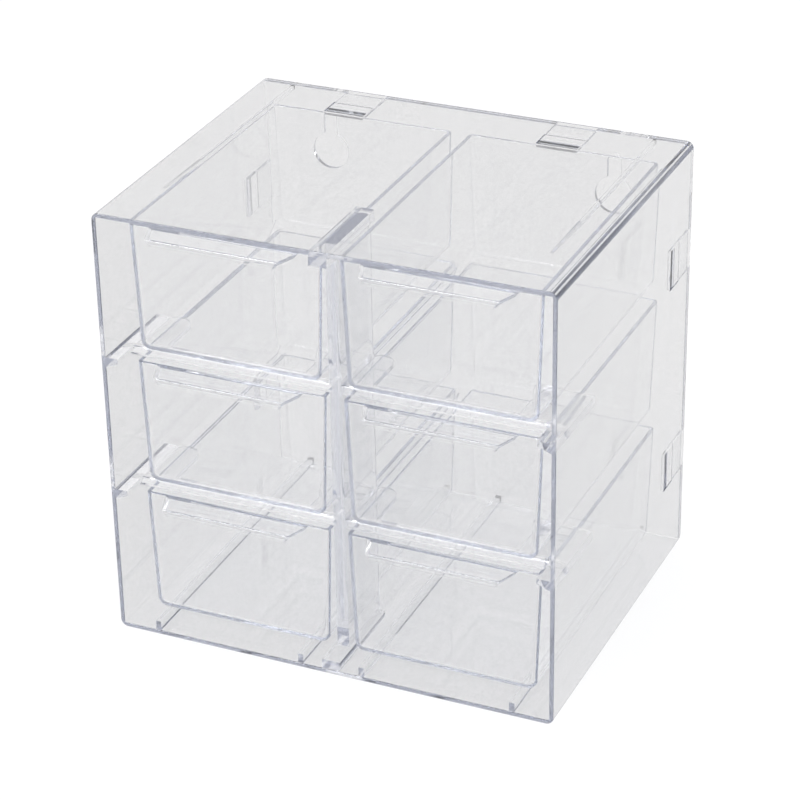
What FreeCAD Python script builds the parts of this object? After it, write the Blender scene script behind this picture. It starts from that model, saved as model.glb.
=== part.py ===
"""Clear table-top organiser: a moulded cabinet with a snap-in back and six pull-out drawers.

All lengths are millimetres. The origin is the middle of the cabinet's footprint, on the surface
it stands on: +X points right, +Y to the back and +Z up, so the drawers open towards -Y.
"""
import FreeCAD, Part
import os
import re
import Sketcher

# ---------------------------------------------------------------- driving dimensions
DRIVING = (
    # drawers
    ("drawerWidth", 76.5, "outside width at the rim"),
    ("drawerDepth", 120.0, "outside depth, without the lip"),
    ("drawerHeight", 50.3, "floor underside to rim"),
    ("drawerWall", 1.5, "thickness of walls and floor"),
    ("drawerDraft", 1.8, "how far each side leans in from rim to floor"),
    ("drawerBottomRound", 4.0, "outer rounding of the long bottom edges"),
    ("drawerCornerRound", 2.0, "outer rounding of the upright corners"),
    ("drawerInnerRound", 1.0, "rounding of the inner corners at front and rear"),
    ("drawerRimRound", 0.4, "rounding of the rim, inside and out"),
    # finger lip on a drawer
    ("lipRootWidth", 60.0, "width where the lip meets the drawer"),
    ("lipFrontWidth", 52.2, "width along its front edge"),
    ("lipEndLean", 2.35, "how far each slanted end leans in from top to bottom"),
    ("lipThickness", 2.0, "thickness of the flange"),
    ("lipFrontHeight", 3.1, "height of the down-turned front"),
    ("lipFrontThickness", 2.2, "thickness of the down-turned front"),
    ("lipEdgeRound", 0.8, "rounding of the front's two long edges"),
    ("lipSetback", 0.2, "from the cabinet's front edge back to the lip"),
    # cabinet
    ("wall", 1.7, "thickness of the cabinet's walls"),
    ("sideDraft", 1.0, "how far each side wall leans in from back to front"),
    ("edgeRound", 3.0, "outer rounding of the four long edges"),
    ("innerEdgeRound", 0.5, "rounding of the same edges inside, and of the back panel's corners"),
    ("frontRimRound", 0.5, "rounding of the front rim, inside and out"),
    ("drawerSetback", 10.0, "from the cabinet's front edge to the drawers' faces"),
    ("sideRoom", 7.3, "from a side wall's inner face, at the front, to the drawer's rim"),
    ("columnGap", 7.0, "between the rims of the two columns"),
    ("backRoom", 8.3, "from a drawer's rear to the back panel"),
    ("slideGap", 0.2, "play between a drawer's floor and what it slides on"),
    ("rimGap", 1.0, "from a drawer's rim to the bar or strip above it"),
    # inside the cabinet
    ("railHeight", 3.7, "height of the rails that stand on the floor"),
    ("railWidth", 2.2, "width of those rails"),
    ("railInsetOuter", 7.3, "from a drawer's outer rim in to the middle of its outer rail"),
    ("railInsetInner", 9.0, "from a drawer's inner rim in to the middle of its inner rail"),
    ("barHeight", 4.0, "height of the cross bars between the rows"),
    ("barThickness", 4.0, "front to back thickness of the cross bars"),
    ("barSetback", 12.0, "from the cabinet's front edge to bars and post"),
    ("barRound", 0.8, "rounding of the cross bars' front edges"),
    ("postGap", 1.1, "from a drawer's rim to the post beside it"),
    ("postDepth", 28.0, "front to back size of the middle post"),
    ("postRound", 2.0, "rounding of the post's two rear edges"),
    ("stripDepth", 41.0, "length of the strips at the foot and the head of the post"),
    ("headStripHeight", 4.4, "height of the strip at the head of the post"),
    ("shelfThickness", 2.0, "thickness of the ledges that carry the drawers"),
    ("shelfLength", 39.0, "length of the ledges from the cabinet's front edge"),
    ("shelfRound", 6.0, "rounding of the ledges' free rear corner"),
    ("ledgeClearance", 2.2, "from the narrow front part of a side ledge to the drawer's rim"),
    ("tongueOverlapOuter", 10.3, "how far a side ledge reaches under a drawer"),
    ("tongueOverlapInner", 9.8, "how far the ledge beside the post reaches under a drawer"),
    ("gussetHeight", 4.0, "height of the wedge under a side ledge, from the ledge's top"),
    ("ceilingRibHeight", 1.8, "height of the two ribs under the top"),
    ("ceilingRibWidth", 1.2, "width of those ribs"),
    ("ceilingRibInset", 4.8, "from a drawer's outer rim in to the middle of its rib"),
    ("ceilingRibStart", 30.0, "from the cabinet's front edge to the ribs"),
    ("ceilingRibRise", 30.0, "length over which a rib grows to its full height"),
    # back panel and its snap tongues
    ("panelThickness", 1.7, "thickness of the back panel"),
    ("panelGap", 0.15, "play between the panel's rim and the walls"),
    ("tabWidth", 16.5, "width of a snap window"),
    ("tabLength", 10.0, "front to back size of a snap window"),
    ("tabBridge", 13.0, "from a snap window to the cabinet's rear edge"),
    ("tabAcross", 43.7, "from the middle plane to the windows in top and floor"),
    ("tabUp", 43.4, "from mid height to the windows in the side walls"),
    ("tabRecess", 0.8, "depth of the channel that lets a tongue in"),
    ("tabPlay", 0.2, "play round a tongue"),
    ("tongueThickness", 1.6, "thickness of a snap tongue"),
    ("hookRamp", 4.5, "length of the slanted nose of a hook"),
    ("hookSunk", 0.3, "how far a hook stays below the outer face"),
    ("keyholeAcross", 59.4, "from the middle plane to a keyhole"),
    ("keyholeDrop", 27.0, "from the cabinet's top down to the middle of a keyhole's round part"),
    ("keyholeRadius", 7.6, "radius of the round part, for the screw's head"),
    ("keyholeSlot", 5.5, "width of the slot, for the screw's shank"),
    ("keyholeRise", 14.2, "from the middle of the round part to the middle of the slot's end"),
)

ROWS = 3
COLUMNS = {"left": -1, "right": 1}

# ---------------------------------------------------------------- sizes that follow from them
DERIVED = (
    ("columnPitch", "drawerWidth + columnGap"),
    ("rowPitch", "slideGap + drawerHeight + rimGap + barHeight"),
    ("frontHalfWidth", "wall + sideRoom + drawerWidth + columnGap / 2"),
    ("rearHalfWidth", "frontHalfWidth + sideDraft"),
    ("floorLevel", "wall + railHeight"),
    ("ceilingLevel", f"floorLevel + {ROWS} * rowPitch - barHeight + headStripHeight"),
    ("cabinetHeight", "ceilingLevel + wall"),
    ("cabinetDepth", "drawerSetback + drawerDepth + backRoom + panelThickness"),
    ("frontEdge", "-cabinetDepth / 2"),
    ("rearEdge", "cabinetDepth / 2"),
    ("panelFace", "rearEdge - panelThickness"),
    ("drawerFace", "frontEdge + drawerSetback"),
    ("innerRim", "columnGap / 2"),
    ("outerRim", "innerRim + drawerWidth"),
    ("wallMiddle", "frontHalfWidth - wall / 2"),
    ("barFront", "frontEdge + barSetback"),
    ("barBack", "barFront + barThickness"),
    ("postHalfWidth", "innerRim - postGap"),
    ("postBack", "barFront + postDepth"),
    ("shelfBack", "frontEdge + shelfLength"),
    ("rimBack", "frontEdge + frontRimRound"),
    ("ribFront", "frontEdge + ceilingRibStart"),
    ("ledgeTip", "outerRim + ledgeClearance"),
    ("tongueTipOuter", "outerRim - tongueOverlapOuter"),
    ("tongueTipInner", "innerRim + tongueOverlapInner"),
    ("railOuter", "outerRim - railInsetOuter"),
    ("railInner", "innerRim + railInsetInner"),
    ("ceilingRib", "outerRim - ceilingRibInset"),
    ("windowBack", "rearEdge - tabBridge"),
    ("windowFront", "windowBack - tabLength"),
    ("lipReach", "drawerSetback - lipSetback"),
    ("keyholeUp", "cabinetHeight - keyholeDrop"),
)


def make_sheet(doc):
    """Spreadsheet with one aliased row for each driving and each following size."""
    sheet = doc.addObject("Spreadsheet::Sheet", "Sizes")
    for row, (alias, value, meaning) in enumerate(DRIVING, 1):
        sheet.set(f"A{row}", meaning)
        sheet.set(f"B{row}", str(value))
        sheet.setAlias(f"B{row}", alias)
    doc.recompute()
    for row, (alias, formula) in enumerate(DERIVED, len(DRIVING) + 2):
        sheet.set(f"A{row}", formula)
        sheet.set(f"B{row}", f"={formula}")
        sheet.setAlias(f"B{row}", alias)
        doc.recompute()
    return sheet


def bound(formula):
    """The same formula with each size looked up in the spreadsheet."""
    return re.sub(r"[A-Za-z]\w*", lambda word: f"Sizes.{word.group(0)}", formula)


def mirrored(side, formula):
    """The formula on the right (side 1) or mirrored to the left (side -1)."""
    return formula if side > 0 else f"-({formula})"


# ---------------------------------------------------------------- a moulded piece
class Moulding:
    """One PartDesign body, with short calls for sketched features bound to the spreadsheet."""

    PLANES = {"floor": "XY_Plane", "front": "XZ_Plane", "side": "YZ_Plane"}

    def __init__(self, doc, sheet, label):
        self.doc = doc
        self.sheet = sheet
        self.body = doc.addObject("PartDesign::Body", label)
        self.body.Label = label

    def size(self, alias):
        return float(self.sheet.get(alias))

    def place(self, across, along, up):
        for axis, formula in (("x", across), ("y", along), ("z", up)):
            self.body.setExpression(f"Placement.Base.{axis}", bound(formula))

    def sketch(self, name, plane, offset):
        """An empty sketch parallel to one of the body's planes, at a height along +Z, +Y or +X."""
        sketch = self.body.newObject("Sketcher::SketchObject", name)
        role = self.PLANES[plane]
        support = [f for f in self.body.Origin.OriginFeatures if f.Role == role][0]
        sketch.AttachmentSupport = [(support, "")]
        sketch.MapMode = "FlatFace"
        height = f"-({offset})" if plane == "front" else offset
        sketch.setExpression("AttachmentOffset.Base.z", bound(height))
        return sketch

    def fix(self, sketch, kind, geometry, point, name, formula, first_value=1.0):
        """A horizontal or vertical distance from the sketch's origin to a point, from a formula."""
        index = sketch.addConstraint(
            Sketcher.Constraint(kind, -1, 1, geometry, point, first_value))
        sketch.renameConstraint(index, name)
        sketch.setExpression(f"Constraints.{name}", bound(formula))

    def outline(self, sketch, *corners):
        """A closed outline of straight lines through corners given as pairs of formulas."""
        first = sketch.GeometryCount
        count = len(corners)
        start = FreeCAD.Vector(10, 0, 0)
        turn = FreeCAD.Rotation(FreeCAD.Vector(0, 0, 1), 360 / count)
        for _ in corners:
            end = turn.multVec(start)
            sketch.addGeometry(Part.LineSegment(start, end), False)
            start = end
        for step, (across, up) in enumerate(corners):
            line = first + step
            following = first + (step + 1) % count
            sketch.addConstraint(Sketcher.Constraint("Coincident", line, 2, following, 1))
            self.fix(sketch, "DistanceX", line, 1, f"across_{line}", across)
            self.fix(sketch, "DistanceY", line, 1, f"up_{line}", up)

    def rectangle(self, sketch, left, right, low, high):
        self.outline(sketch, (left, low), (right, low), (right, high), (left, high))

    def extrude(self, kind, sketch, length, grows):
        """Pad or Pocket that runs from the sketch towards +Z, +Y or +X (grows 1), back (grows -1)
        or evenly both ways (grows 0). A feature that changes nothing is an error."""
        before = self.volume()
        feature = self.body.newObject(f"PartDesign::{kind}", sketch.Name.replace("Sketch", kind))
        feature.Profile = sketch
        feature.setExpression("Length", bound(length))
        feature.Midplane = grows == 0
        faces_back = sketch.AttachmentSupport[0][0].Role == self.PLANES["front"]
        along_normal = (grows > 0) != faces_back
        feature.Reversed = along_normal if kind == "Pocket" else not along_normal
        self.doc.recompute()
        change = self.volume() - before
        if (change <= 0) == (kind == "Pad"):
            raise RuntimeError(f"{feature.Name} changed the volume by {change:.3f}")
        return feature

    def pad(self, sketch, length, grows=1):
        return self.extrude("Pad", sketch, length, grows)

    def pocket(self, sketch, length, grows=1):
        return self.extrude("Pocket", sketch, length, grows)

    def loft(self, kind, name, profile, section):
        feature = self.body.newObject(f"PartDesign::{kind}", name)
        feature.Profile = profile
        feature.Sections = [section]
        feature.Ruled = True
        self.doc.recompute()
        return feature

    def round_edges(self, name, radius, test):
        """Fillet on the edges whose middle and length pass the test."""
        base = self.body.Tip
        chosen = []
        for number, edge in enumerate(base.Shape.Edges, 1):
            middle = edge.valueAt((edge.FirstParameter + edge.LastParameter) / 2)
            if test(middle, edge):
                chosen.append(f"Edge{number}")
        feature = self.body.newObject("PartDesign::Fillet", name)
        feature.Base = (base, chosen)
        feature.setExpression("Radius", bound(radius))
        self.doc.recompute()
        return feature

    def volume(self):
        shape = self.body.Shape
        return 0.0 if shape.isNull() else shape.Volume


def near(value, target):
    return abs(value - target) < 0.05


def runs_along(edge, axis):
    """Whether a straight edge follows an axis, allowing for a wall's small lean."""
    chord = edge.valueAt(edge.LastParameter) - edge.valueAt(edge.FirstParameter)
    return near(chord.Length, edge.Length) and abs(getattr(chord, axis)) > 0.99 * edge.Length


# ---------------------------------------------------------------- cabinet
def make_walls(shell):
    """A tube of four walls, open at the front and rear, slightly narrower at the front."""
    def plan(name, gap):
        sketch = shell.sketch(name, "floor", gap)
        front = f"(frontHalfWidth - {gap})"
        rear = f"(rearHalfWidth - {gap})"
        shell.outline(
            sketch, (f"-{front}", "frontEdge"), (front, "frontEdge"),
            (rear, "rearEdge"), (f"-{rear}", "rearEdge"))
        return sketch

    shell.pad(plan("BlockSketch", "0"), "cabinetHeight")
    shell.pocket(plan("InsideSketch", "wall"), "cabinetHeight - 2 * wall")
    height = shell.size("cabinetHeight")
    margin = shell.size("wall") / 2

    def long_edge(outer):
        def test(middle, edge):
            at_skin = middle.z < margin or middle.z > height - margin
            return runs_along(edge, "y") and at_skin == outer
        return test

    shell.round_edges("OuterEdges", "edgeRound", long_edge(True))
    shell.round_edges("InnerEdges", "innerEdgeRound", long_edge(False))
    front = shell.size("frontEdge")
    shell.round_edges(
        "FrontRim", "frontRimRound", lambda middle, edge: near(middle.y, front))


def make_post(shell):
    """The upright between the columns, with a strip on the floor and one under the top."""
    post = shell.sketch("PostSketch", "floor", "wall")
    shell.rectangle(post, "-postHalfWidth", "postHalfWidth", "barFront", "postBack")
    shell.pad(post, "ceilingLevel - wall")
    back = shell.size("postBack")
    shell.round_edges(
        "PostRound", "postRound",
        lambda middle, edge: runs_along(edge, "z") and near(middle.y, back))
    for name, level, height in (
            ("Foot", "wall", "railHeight"),
            ("Head", "ceilingLevel - headStripHeight", "headStripHeight")):
        strip = shell.sketch(f"{name}StripSketch", "floor", level)
        shell.rectangle(strip, "-innerRim", "innerRim", "rimBack", "frontEdge + stripDepth")
        shell.pad(strip, height)


def make_level(shell, row):
    """Cross bar and ledges that carry the drawers of one raised row."""
    top = f"(floorLevel + {row} * rowPitch)"
    bar = shell.sketch(f"Bar{row}Sketch", "front", "barFront")
    shell.rectangle(bar, "-wallMiddle", "wallMiddle", f"{top} - barHeight", top)
    shell.pad(bar, "barThickness")
    front = shell.size("barFront")
    level = shell.size("floorLevel") + row * shell.size("rowPitch")
    bar_edges = (level, level - shell.size("barHeight"))
    shell.round_edges(
        f"BarRound{row}", "barRound",
        lambda middle, edge: runs_along(edge, "x") and near(middle.y, front)
        and any(near(middle.z, height) for height in bar_edges))

    ledges = shell.sketch(f"Ledges{row}Sketch", "floor", top)
    for side in COLUMNS.values():
        corners = (
            ("wallMiddle", "frontEdge"),
            ("ledgeTip", "frontEdge"),
            ("ledgeTip", "barBack"),
            ("tongueTipOuter", "barBack"),
            ("tongueTipOuter", "shelfBack"),
            ("wallMiddle", "shelfBack"))
        shell.outline(ledges, *((mirrored(side, across), along) for across, along in corners))
    shell.pad(ledges, "shelfThickness", grows=-1)

    tongues = shell.sketch(f"PostLedges{row}Sketch", "floor", top)
    shell.rectangle(tongues, "-tongueTipInner", "tongueTipInner", "barBack", "shelfBack")
    shell.pad(tongues, "shelfThickness", grows=-1)

    back = shell.size("shelfBack")
    tips = (shell.size("tongueTipOuter"), shell.size("tongueTipInner"))
    shell.round_edges(
        f"LedgeRound{row}", "shelfRound",
        lambda middle, edge: runs_along(edge, "z") and near(middle.y, back)
        and abs(middle.z - level) < shell.size("shelfThickness")
        and any(near(abs(middle.x), tip) for tip in tips))

    gussets = shell.sketch(f"Gussets{row}Sketch", "front", "frontEdge")
    for side in COLUMNS.values():
        corners = (
            ("wallMiddle", f"{top} - gussetHeight"),
            ("frontHalfWidth - wall", f"{top} - gussetHeight"),
            ("ledgeTip", f"{top} - shelfThickness"),
            ("wallMiddle", f"{top} - shelfThickness"))
        shell.outline(gussets, *((mirrored(side, across), up) for across, up in corners))
    shell.pad(gussets, "shelfLength")


def make_rails(shell):
    """Rails on the floor under the lowest drawers, and ribs under the top."""
    rails = shell.sketch("RailsSketch", "floor", "wall")
    for side in COLUMNS.values():
        for middle in ("railInner", "railOuter"):
            centre = mirrored(side, middle)
            shell.rectangle(
                rails, f"{centre} - railWidth / 2", f"{centre} + railWidth / 2",
                "rimBack", "panelFace")
    shell.pad(rails, "railHeight")
    for name, side in COLUMNS.items():
        rib = shell.sketch(f"CeilingRibSketch_{name}", "side", mirrored(side, "ceilingRib"))
        shell.outline(
            rib, ("ribFront", "ceilingLevel"), ("panelFace", "ceilingLevel"),
            ("panelFace", "ceilingLevel - ceilingRibHeight"),
            ("ribFront + ceilingRibRise", "ceilingLevel - ceilingRibHeight"))
        shell.pad(rib, "ceilingRibWidth", grows=0)


def cut_snap_windows(shell):
    """Windows through the walls for the hooks, each with a channel from the rear edge."""
    middle = "cabinetHeight / 2"
    reach = "2 * (rearHalfWidth - wall + {})"
    for name, low, high, skin in (
            ("Window", "windowFront", "windowBack", "wall"),
            ("Channel", "windowBack", "rearEdge", "tabRecess")):
        upright = shell.sketch(f"{name}UprightSketch", "floor", f"wall - {skin}")
        level = shell.sketch(f"{name}LevelSketch", "side", "0")
        for side in (-1, 1):
            centre = mirrored(side, "tabAcross")
            shell.rectangle(
                upright, f"{centre} - tabWidth / 2", f"{centre} + tabWidth / 2", low, high)
            centre = f"{middle} + {mirrored(side, 'tabUp')}"
            shell.rectangle(
                level, low, high, f"{centre} - tabWidth / 2", f"{centre} + tabWidth / 2")
        shell.pocket(upright, f"cabinetHeight - 2 * (wall - {skin})")
        shell.pocket(level, reach.format(skin), grows=0)


def make_cabinet(doc, sheet):
    shell = Moulding(doc, sheet, "cabinet_shell")
    make_walls(shell)
    make_post(shell)
    for row in range(1, ROWS):
        make_level(shell, row)
    make_rails(shell)
    cut_snap_windows(shell)
    return shell


# ---------------------------------------------------------------- back panel
def add_tongue(panel, name, plane, offset, skin, sign):
    """A snap tongue with its hook, drawn in profile and extruded evenly about its middle.

    skin is the outer face of the wall it snaps into, and sign tells on which side of the
    cabinet's middle that wall is.
    """
    def inward(depth):
        return f"{skin} - {sign} * ({depth})"

    top = inward("wall - tabRecess + tabPlay")
    bottom = inward("wall - tabRecess + tabPlay + tongueThickness")
    hook = inward("hookSunk")
    tip = "windowFront + tabPlay"
    profile = (
        ("panelFace", bottom),
        (tip, bottom),
        (tip, top),
        (f"{tip} + hookRamp", hook),
        ("windowBack", hook),
        ("windowBack", top),
        ("panelFace", top))
    if plane == "floor":
        profile = tuple((across, along) for along, across in profile)
    sketch = panel.sketch(f"{name}Sketch", plane, offset)
    panel.outline(sketch, *profile)
    panel.pad(sketch, "tabWidth - 2 * tabPlay", grows=0)


def keyhole_outline(panel, sketch, side):
    """Round hole with a slot rising from it: two arcs joined by two upright lines."""
    across = side * panel.size("keyholeAcross")
    up = panel.size("keyholeUp")
    radius = panel.size("keyholeRadius")
    half = panel.size("keyholeSlot") / 2
    shoulder = up + (radius ** 2 - half ** 2) ** 0.5
    rise = up + panel.size("keyholeRise")

    def at(x, y):
        return FreeCAD.Vector(x, y, 0)

    first = sketch.GeometryCount
    sketch.addGeometry([
        Part.Arc(at(across - half, shoulder), at(across, up - radius), at(across + half, shoulder)),
        Part.LineSegment(at(across + half, shoulder), at(across + half, rise)),
        Part.Arc(at(across + half, rise), at(across, rise + half), at(across - half, rise)),
        Part.LineSegment(at(across - half, rise), at(across - half, shoulder))], False)
    hole, right, end, left = range(first, first + 4)
    for geometry, point, following, start in (
            (hole, 2, right, 1), (right, 2, end, 1), (end, 2, left, 1), (left, 2, hole, 1)):
        sketch.addConstraint(
            Sketcher.Constraint("Coincident", geometry, point, following, start))
    for line in (right, left):
        sketch.addConstraint(Sketcher.Constraint("Vertical", line))
    centre = mirrored(side, "keyholeAcross")
    slot_end = "keyholeUp + keyholeRise"
    for arc, point, kind, formula, value in (
            (hole, 3, "DistanceX", centre, across),
            (hole, 3, "DistanceY", "keyholeUp", up),
            (end, 3, "DistanceX", centre, across),
            (end, 3, "DistanceY", slot_end, rise),
            (end, 1, "DistanceY", slot_end, rise),
            (end, 2, "DistanceY", slot_end, rise),
            (end, 1, "DistanceX", f"{centre} + keyholeSlot / 2", across + half)):
        panel.fix(sketch, kind, arc, point, f"{kind}_{arc}_{point}", formula, value)
    index = sketch.addConstraint(Sketcher.Constraint("Radius", hole, radius))
    sketch.renameConstraint(index, f"radius_{hole}")
    sketch.setExpression(f"Constraints.radius_{hole}", bound("keyholeRadius"))


def make_back_panel(doc, sheet):
    """Flat panel inside the rear edge, with eight snap tongues and two keyholes."""
    panel = Moulding(doc, sheet, "back_panel")
    plate = panel.sketch("PlateSketch", "front", "panelFace")
    reach = "rearHalfWidth - wall - panelGap - sideDraft * panelThickness / cabinetDepth"
    panel.rectangle(
        plate, f"-({reach})", reach, "wall + panelGap", "cabinetHeight - wall - panelGap")
    panel.pad(plate, "panelThickness")
    panel.round_edges(
        "PlateCorners", "innerEdgeRound", lambda middle, edge: runs_along(edge, "y"))

    for name, skin, sign in (("Top", "cabinetHeight", 1), ("Floor", "0", -1)):
        for side_name, side in COLUMNS.items():
            add_tongue(panel, f"{name}Tongue_{side_name}", "side",
                       mirrored(side, "tabAcross"), skin, sign)
    for side_name, side in COLUMNS.items():
        for name, up in (("lower", "- tabUp"), ("upper", "+ tabUp")):
            add_tongue(panel, f"SideTongue_{side_name}_{name}", "floor",
                       f"cabinetHeight / 2 {up}", mirrored(side, "rearHalfWidth"), side)

    keyholes = panel.sketch("KeyholesSketch", "front", "panelFace")
    for side in COLUMNS.values():
        keyhole_outline(panel, keyholes, side)
    panel.pocket(keyholes, "panelThickness")
    return panel


# ---------------------------------------------------------------- drawers
def make_drawer(doc, sheet, label, side, row):
    """One drawer, drawn about its own middle: front face at y = 0, underside at z = 0."""
    drawer = Moulding(doc, sheet, label)
    drawer.place(f"{side} * columnPitch / 2", "drawerFace",
                 f"floorLevel + slideGap + {row} * rowPitch")
    depth = drawer.size("drawerDepth")
    height = drawer.size("drawerHeight")
    wall = drawer.size("drawerWall")

    def upright_profile(name, inset, level):
        sketch = drawer.sketch(f"{name}Sketch", "front", inset)
        rim = f"(drawerWidth / 2 - {inset})"
        foot = f"({rim} - drawerDraft)"
        drawer.outline(
            sketch, (f"-{foot}", level), (foot, level), (rim, "drawerHeight"),
            (f"-{rim}", "drawerHeight"))
        return sketch

    drawer.pad(upright_profile("Block", "0", "0"), "drawerDepth")
    drawer.round_edges(
        "BottomRound", "drawerBottomRound",
        lambda middle, edge: runs_along(edge, "y") and near(middle.z, 0))
    drawer.round_edges(
        "CornerRound", "drawerCornerRound",
        lambda middle, edge: (near(middle.y, 0) or near(middle.y, depth))
        and middle.z < height - 1)

    drawer.pocket(upright_profile("Cavity", "drawerWall", "drawerWall"),
                  "drawerDepth - 2 * drawerWall")
    drawer.round_edges(
        "InnerBottomRound", "drawerBottomRound - drawerWall",
        lambda middle, edge: runs_along(edge, "y") and near(middle.z, wall))
    drawer.round_edges(
        "InnerCornerRound", "drawerInnerRound",
        lambda middle, edge: (near(middle.y, wall) or near(middle.y, depth - wall))
        and middle.z < height - 1)
    drawer.round_edges(
        "RimRound", "drawerRimRound", lambda middle, edge: near(middle.z, height))
    add_lip(drawer)
    return drawer


def add_lip(drawer):
    """Flange flush with the rim, with slanted ends and a down-turned front."""
    profiles = []
    for name, drop, lean in (("Top", "0", "0"), ("Low", "lipFrontHeight", "lipEndLean")):
        sketch = drawer.sketch(f"Lip{name}", "floor", f"drawerHeight - {drop}")
        root = f"(lipRootWidth / 2 - {lean})"
        front = f"(lipFrontWidth / 2 - {lean})"
        drawer.outline(
            sketch, (f"-{front}", "-lipReach"), (front, "-lipReach"),
            (root, "drawerWall / 2"), (f"-{root}", "drawerWall / 2"))
        profiles.append(sketch)
    drawer.loft("AdditiveLoft", "Lip", *profiles)
    hollow = drawer.sketch("LipHollowSketch", "floor", "drawerHeight - lipFrontHeight")
    drawer.rectangle(
        hollow, "-lipRootWidth / 2", "lipRootWidth / 2", "lipFrontThickness - lipReach", "0")
    drawer.pocket(hollow, "lipFrontHeight - lipThickness")
    reach = drawer.size("lipReach")
    drawer.round_edges(
        "LipRound", "lipEdgeRound",
        lambda middle, edge: runs_along(edge, "x") and near(middle.y, -reach))


# ---------------------------------------------------------------- whole object
def check(doc, pieces):
    """Stop on any failed feature and on any piece that is not one valid solid."""
    for thing in doc.Objects:
        if "Invalid" in thing.State or "Error" in thing.State:
            raise RuntimeError(f"{thing.Label} is {thing.State}")
    for piece in pieces:
        shape = piece.body.Shape
        if shape.isNull() or not shape.isValid() or len(shape.Solids) != 1:
            raise RuntimeError(f"{piece.body.Label} is not one valid solid")


def main():
    doc = FreeCAD.newDocument("Organiser")
    sheet = make_sheet(doc)
    pieces = [make_cabinet(doc, sheet), make_back_panel(doc, sheet)]
    for column, side in COLUMNS.items():
        for row, level in enumerate(("lower", "middle", "upper")):
            pieces.append(make_drawer(doc, sheet, f"drawer_{level}_{column}", side, row))
    doc.recompute()
    check(doc, pieces)
    os.makedirs("parts", exist_ok=True)
    for piece in pieces:
        shape = piece.body.Shape
        shape.exportStep(f"parts/{piece.body.Label}.step")
        box = shape.BoundBox
        print(f"{piece.body.Label}: volume {shape.Volume:.0f}, x {box.XMin:.2f} {box.XMax:.2f}, "
              f"y {box.YMin:.2f} {box.YMax:.2f}, z {box.ZMin:.2f} {box.ZMax:.2f}")


main()
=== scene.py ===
"""Looks of the clear drawer organiser, in metres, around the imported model."""

import math

import bpy
from mathutils import Matrix, Vector


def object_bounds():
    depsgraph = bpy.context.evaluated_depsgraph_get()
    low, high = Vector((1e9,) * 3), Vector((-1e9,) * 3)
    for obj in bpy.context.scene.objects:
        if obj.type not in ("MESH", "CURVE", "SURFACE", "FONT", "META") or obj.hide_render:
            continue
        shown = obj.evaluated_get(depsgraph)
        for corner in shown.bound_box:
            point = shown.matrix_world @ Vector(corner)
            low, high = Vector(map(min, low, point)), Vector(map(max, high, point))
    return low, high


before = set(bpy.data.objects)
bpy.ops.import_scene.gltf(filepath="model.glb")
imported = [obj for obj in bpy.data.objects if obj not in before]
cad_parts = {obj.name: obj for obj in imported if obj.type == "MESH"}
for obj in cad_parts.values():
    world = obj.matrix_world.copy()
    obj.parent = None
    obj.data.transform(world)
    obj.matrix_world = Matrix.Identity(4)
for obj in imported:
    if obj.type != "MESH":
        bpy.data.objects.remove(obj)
cad_low, cad_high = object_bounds()

# ------------------------------------------------------------------ camera and stage
CAMERA_PLACE = Vector((0.3857, -0.8566, 0.5827))
CAMERA_AIM = Vector((0.0010, -0.0042, 0.0837))
CAMERA_ROLL = math.radians(-1.109)
CAMERA_LENS = 125.96
CAMERA_SENSOR = 36.0

WHITE = (1.0, 1.0, 1.0, 1.0)
PAPER = (0.9, 0.9, 0.9, 1.0)
FLOOR_RADIUS = 6.0
FLOOR_CORNERS = 96
FLOOR_DROP = 0.0002        # gap between the floor and the cabinet's underside
FLOOR_GLOW = 0.8           # share of the floor's brightness that no shadow changes

ROOM_LIGHT = 0.8           # the world on matt surfaces
BACKDROP_LIGHT = 1.0       # the world seen directly, and seen bent or mirrored near the horizon
CEILING_LIGHT = 1.35       # the world seen bent or mirrored overhead
CEILING_STARTS = 0.25      # Z of a ray's direction where the ceiling's light sets in ...
CEILING_FULLY = 0.75       # ... and where it is at full strength

# Light runs far along the rims of clear plastic, so few bounces would leave them black.
LIGHT_BOUNCES = 400

# name, place, width and height, power in watts, whether mirrored and refracted rays see it
SOFTBOXES = (
    ("key", (-0.8, -0.9, 1.5), (0.8, 0.8), 16, True),
    ("top", (0.1, 0.5, 1.9), (1.0, 0.7), 10, False),
    ("fill", (1.5, -0.6, 0.9), (0.7, 0.9), 8, True))


def add_camera():
    data = bpy.data.cameras.new("camera")
    data.lens = CAMERA_LENS
    data.sensor_width = CAMERA_SENSOR
    camera = bpy.data.objects.new("camera", data)
    bpy.context.scene.collection.objects.link(camera)
    look = (CAMERA_AIM - CAMERA_PLACE).to_track_quat("-Z", "Y")
    camera.matrix_world = (
        Matrix.Translation(CAMERA_PLACE)
        @ look.to_matrix().to_4x4()
        @ Matrix.Rotation(CAMERA_ROLL, 4, "Z"))
    bpy.context.scene.camera = camera


def add_softbox(name, place, size, power, mirrored):
    data = bpy.data.lights.new(name, "AREA")
    data.shape = "RECTANGLE"
    data.size, data.size_y = size
    data.energy = power
    lamp = bpy.data.objects.new(name, data)
    bpy.context.scene.collection.objects.link(lamp)
    lamp.location = place
    middle = (cad_low + cad_high) / 2
    lamp.rotation_euler = (middle - lamp.location).to_track_quat("-Z", "Y").to_euler()
    lamp.visible_glossy = mirrored
    lamp.visible_transmission = mirrored


# ------------------------------------------------------------------ node helpers
def new_material(name):
    material = bpy.data.materials.new(name)
    material.use_nodes = True
    material.node_tree.nodes.clear()
    return material


def add_node(tree, kind, values=(), **settings):
    """A new node with its settings, then the values of its named or numbered sockets."""
    node = tree.nodes.new(kind)
    for key, value in settings.items():
        setattr(node, key, value)
    for socket, value in dict(values).items():
        node.inputs[socket].default_value = value
    return node


def either(tree, one, other):
    """1 where one of two ray flags is set."""
    flag = add_node(tree, "ShaderNodeMath", operation="MAXIMUM")
    tree.links.new(one, flag.inputs[0])
    tree.links.new(other, flag.inputs[1])
    return flag.outputs[0]


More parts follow.
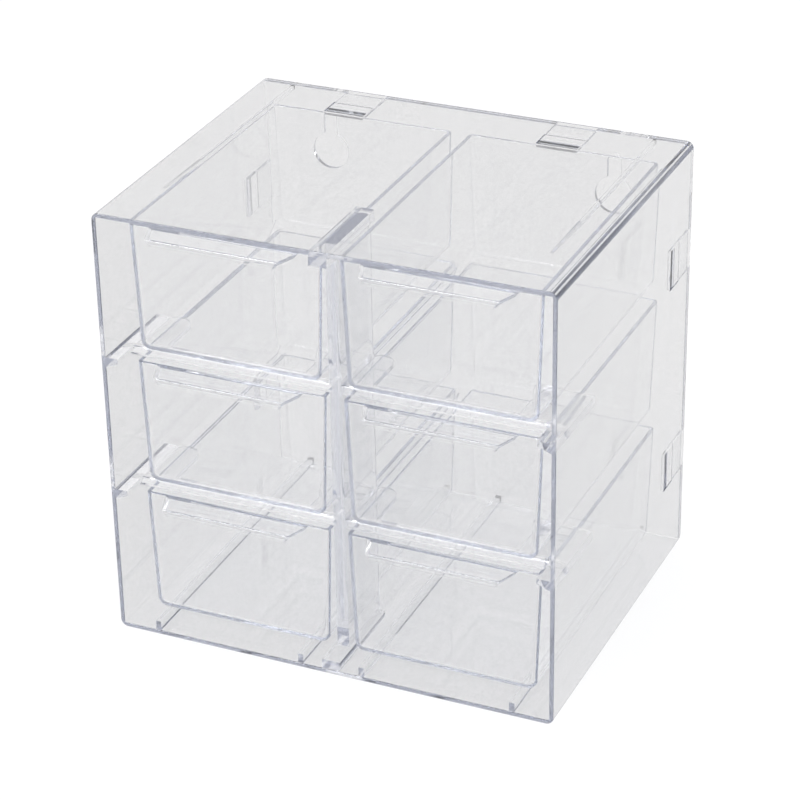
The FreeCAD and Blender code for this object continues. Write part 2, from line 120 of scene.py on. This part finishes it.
def floor_material():
    """White paper sweep: seen as white, with a part of its brightness lit by the lamps, so that
    it takes the object's shadow."""
    material = new_material("paper_sweep")
    tree = material.node_tree
    link = tree.links.new
    output = add_node(tree, "ShaderNodeOutputMaterial")
    glow = add_node(tree, "ShaderNodeEmission", {"Color": WHITE})
    paper = add_node(tree, "ShaderNodeBsdfDiffuse", {"Color": PAPER})
    rays = add_node(tree, "ShaderNodeLightPath").outputs
    seen = either(tree, rays["Is Camera Ray"], rays["Is Glossy Ray"])
    seen = either(tree, seen, rays["Is Transmission Ray"])
    share = add_node(tree, "ShaderNodeMath", {1: FLOOR_GLOW}, operation="MULTIPLY")
    blend = add_node(tree, "ShaderNodeMixShader")
    link(seen, share.inputs[0])
    link(share.outputs[0], blend.inputs["Fac"])
    link(paper.outputs["BSDF"], blend.inputs[1])
    link(glow.outputs["Emission"], blend.inputs[2])
    link(blend.outputs["Shader"], output.inputs["Surface"])
    return material


def add_floor():
    bpy.ops.mesh.primitive_circle_add(
        vertices=FLOOR_CORNERS, radius=FLOOR_RADIUS, fill_type="NGON")
    floor = bpy.context.object
    floor.name = "floor"
    floor.location.z = cad_low.z - FLOOR_DROP
    floor.data.materials.append(floor_material())


def set_world():
    """White room: plain white to the camera, and brighter overhead to what mirrors or bends it,
    as under a large soft ceiling light."""
    world = bpy.data.worlds.new("studio")
    bpy.context.scene.world = world
    world.use_nodes = True
    tree = world.node_tree
    tree.nodes.clear()
    link = tree.links.new
    output = add_node(tree, "ShaderNodeOutputWorld")
    rays = add_node(tree, "ShaderNodeLightPath").outputs
    room = add_node(
        tree, "ShaderNodeBackground", {"Color": WHITE, "Strength": ROOM_LIGHT})
    backdrop = add_node(
        tree, "ShaderNodeBackground", {"Color": WHITE, "Strength": BACKDROP_LIGHT})

    overhead = add_node(tree, "ShaderNodeBackground", {"Color": WHITE})
    direction = add_node(tree, "ShaderNodeTexCoord")
    parts = add_node(tree, "ShaderNodeSeparateXYZ")
    ceiling = add_node(
        tree, "ShaderNodeMapRange",
        {"From Min": CEILING_STARTS, "From Max": CEILING_FULLY,
         "To Min": BACKDROP_LIGHT, "To Max": CEILING_LIGHT},
        interpolation_type="SMOOTHSTEP")
    link(direction.outputs["Generated"], parts.inputs["Vector"])
    link(parts.outputs["Z"], ceiling.inputs["Value"])
    link(ceiling.outputs["Result"], overhead.inputs["Strength"])

    bent = either(tree, rays["Is Transmission Ray"], rays["Is Glossy Ray"])
    lit = add_node(tree, "ShaderNodeMixShader")
    link(bent, lit.inputs["Fac"])
    link(room.outputs["Background"], lit.inputs[1])
    link(overhead.outputs["Background"], lit.inputs[2])
    seen = add_node(tree, "ShaderNodeMixShader")
    link(rays["Is Camera Ray"], seen.inputs["Fac"])
    link(lit.outputs["Shader"], seen.inputs[1])
    link(backdrop.outputs["Background"], seen.inputs[2])
    link(seen.outputs["Shader"], output.inputs["Surface"])


# ------------------------------------------------------------------ clear plastic
PLASTIC_IOR = 1.5
DEPTH_DENSITY = 10.0                         # of the absorption, per metre
DUST_COLOUR = (0.66, 0.655, 0.66, 1.0)
SHADOW_TINT = (0.93, 0.935, 0.945, 1.0)      # what one surface lets through to cast a shadow

# Faces that look forward get painted light: a painted highlight on the cabinet, painted shade on
# drawers
# Y of a face's own normal, which is -1 where the face looks straight forward
FORWARD_STARTS = -0.6
FORWARD_FULLY = -0.95

SWELLS = {"Scale": 14.0, "Detail": 2.0, "Roughness": 0.4}
SWELL_DEPTH = 0.002
SMUDGES = {"Scale": 45.0, "Detail": 5.0, "Distortion": 0.8}
SMUDGE_POLISH = {"From Min": 0.5, "From Max": 0.8, "To Min": 0.004, "To Max": 0.05}
SPECKS = {"Scale": 900.0, "Detail": 3.0}
SPECK_RANGE = (0.35, 0.75)
SPECK_SHARE = (0.7, 1.7)                     # times a plastic's dust, at that range's two ends


def relief_and_polish(tree, place, ripple):
    """Faint swells from the mould as a normal, and smudges as a roughness."""
    link = tree.links.new
    swell = add_node(tree, "ShaderNodeTexNoise", SWELLS)
    relief = add_node(
        tree, "ShaderNodeBump", {"Strength": ripple, "Distance": SWELL_DEPTH})
    link(place, swell.inputs["Vector"])
    link(swell.outputs["Fac"], relief.inputs["Height"])

    smudge = add_node(tree, "ShaderNodeTexNoise", SMUDGES)
    polish = add_node(tree, "ShaderNodeMapRange", SMUDGE_POLISH)
    link(place, smudge.inputs["Vector"])
    link(smudge.outputs["Fac"], polish.inputs["Value"])
    return relief.outputs["Normal"], polish.outputs["Result"]


def paint_light_by_facing(tree, normal, shade, painted_front_light):
    """Paints light and shade by facing: faces that look forward take their own colour, all
    others shade.
    """
    link = tree.links.new
    facing = add_node(tree, "ShaderNodeSeparateXYZ")
    forward = add_node(
        tree, "ShaderNodeMapRange", {"From Min": FORWARD_STARTS, "From Max": FORWARD_FULLY})
    painted_tint = add_node(tree, "ShaderNodeMix", {"A": shade, "B": painted_front_light}, data_type="RGBA")
    link(normal, facing.inputs["Vector"])
    link(facing.outputs["Y"], forward.inputs["Value"])
    link(forward.outputs["Result"], painted_tint.inputs["Factor"])
    return painted_tint.outputs["Result"]


def dust_share(tree, place, dust):
    """Share of a surface that dust covers: speckled outside, none on the inner side."""
    link = tree.links.new
    specks = add_node(tree, "ShaderNodeTexNoise", SPECKS)
    amount = add_node(
        tree, "ShaderNodeMapRange",
        {"From Min": SPECK_RANGE[0], "From Max": SPECK_RANGE[1],
         "To Min": SPECK_SHARE[0] * dust, "To Max": SPECK_SHARE[1] * dust})
    side = add_node(tree, "ShaderNodeNewGeometry")
    outside = add_node(tree, "ShaderNodeMath", {0: 1.0}, operation="SUBTRACT")
    thin = add_node(tree, "ShaderNodeMath", operation="MULTIPLY")
    link(place, specks.inputs["Vector"])
    link(specks.outputs["Fac"], amount.inputs["Value"])
    link(side.outputs["Backfacing"], outside.inputs[1])
    link(outside.outputs[0], thin.inputs[0])
    link(amount.outputs["Result"], thin.inputs[1])
    return thin.outputs[0]


def clear_plastic(name, shade, depth_colour, ripple, dust, painted_front_light=None):
    """Clear moulding: polished and refracting, blue-grey through its depth, with faint ripples
    from the mould, smudges and a dusty bloom on its outer faces; seen directly it takes a shade,
    and with a second colour given, faces that look forward take that colour as painted light."""
    material = new_material(name)
    tree = material.node_tree
    link = tree.links.new
    output = add_node(tree, "ShaderNodeOutputMaterial")
    place = add_node(tree, "ShaderNodeTexCoord").outputs
    rays = add_node(tree, "ShaderNodeLightPath").outputs
    relief, polish = relief_and_polish(tree, place["Object"], ripple)

    def body(colour):
        plastic = add_node(
            tree, "ShaderNodeBsdfPrincipled",
            {"Base Color": colour, "Transmission Weight": 1.0, "IOR": PLASTIC_IOR})
        link(polish, plastic.inputs["Roughness"])
        link(relief, plastic.inputs["Normal"])
        return plastic

    first = add_node(tree, "ShaderNodeMixShader")
    seen_directly = body(shade)
    # painted light: forward faces get a colour of their own by facing alone
    if painted_front_light:
        link(
            paint_light_by_facing(tree, place["Normal"], shade, painted_front_light),
            seen_directly.inputs["Base Color"])
    link(rays["Is Camera Ray"], first.inputs["Fac"])
    link(body(WHITE).outputs["BSDF"], first.inputs[1])
    link(seen_directly.outputs["BSDF"], first.inputs[2])

    bloom = add_node(tree, "ShaderNodeBsdfDiffuse", {"Color": DUST_COLOUR})
    dusty = add_node(tree, "ShaderNodeMixShader")
    link(dust_share(tree, place["Object"], dust), dusty.inputs["Fac"])
    link(first.outputs["Shader"], dusty.inputs[1])
    link(bloom.outputs["BSDF"], dusty.inputs[2])

    through = add_node(tree, "ShaderNodeBsdfTransparent", {"Color": SHADOW_TINT})
    blend = add_node(tree, "ShaderNodeMixShader")
    link(either(tree, rays["Is Shadow Ray"], rays["Is Diffuse Ray"]), blend.inputs["Fac"])
    link(dusty.outputs["Shader"], blend.inputs[1])
    link(through.outputs["BSDF"], blend.inputs[2])
    link(blend.outputs["Shader"], output.inputs["Surface"])

    depth = add_node(
        tree, "ShaderNodeVolumeAbsorption",
        {"Color": depth_colour, "Density": DEPTH_DENSITY})
    link(depth.outputs["Volume"], output.inputs["Volume"])
    return material


def dress(node, material):
    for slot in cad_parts[node].material_slots:
        slot.material = material


CLEAR = {
    "cabinet_shell": clear_plastic(
        "cabinet_plastic",
        # lighter forward faces: a painted highlight on the bars, post and front rims
        shade=(0.54, 0.535, 0.54, 1.0), painted_front_light=(0.74, 0.735, 0.74, 1.0),
        depth_colour=(0.43, 0.465, 0.58, 1.0), ripple=0.003, dust=0.06),
    "back_panel": clear_plastic(
        "panel_plastic", shade=(0.57, 0.565, 0.57, 1.0),
        depth_colour=(0.55, 0.58, 0.67, 1.0), ripple=0.006, dust=0.05),
}
drawer_plastic = clear_plastic(
    "drawer_plastic",
    # darker forward faces: painted shade on the drawer fronts
    shade=(0.66, 0.655, 0.66, 1.0), painted_front_light=(0.62, 0.615, 0.62, 1.0),
    depth_colour=(0.57, 0.6, 0.68, 1.0), ripple=0.003, dust=0.05)
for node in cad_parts:
    dress(node, CLEAR.get(node, drawer_plastic))

add_camera()
add_floor()
set_world()
for softbox in SOFTBOXES:
    add_softbox(*softbox)

scene = bpy.context.scene
scene.view_settings.view_transform = "Standard"
scene.cycles.max_bounces = LIGHT_BOUNCES
scene.cycles.glossy_bounces = LIGHT_BOUNCES
scene.cycles.transmission_bounces = LIGHT_BOUNCES
scene.cycles.transparent_max_bounces = LIGHT_BOUNCES
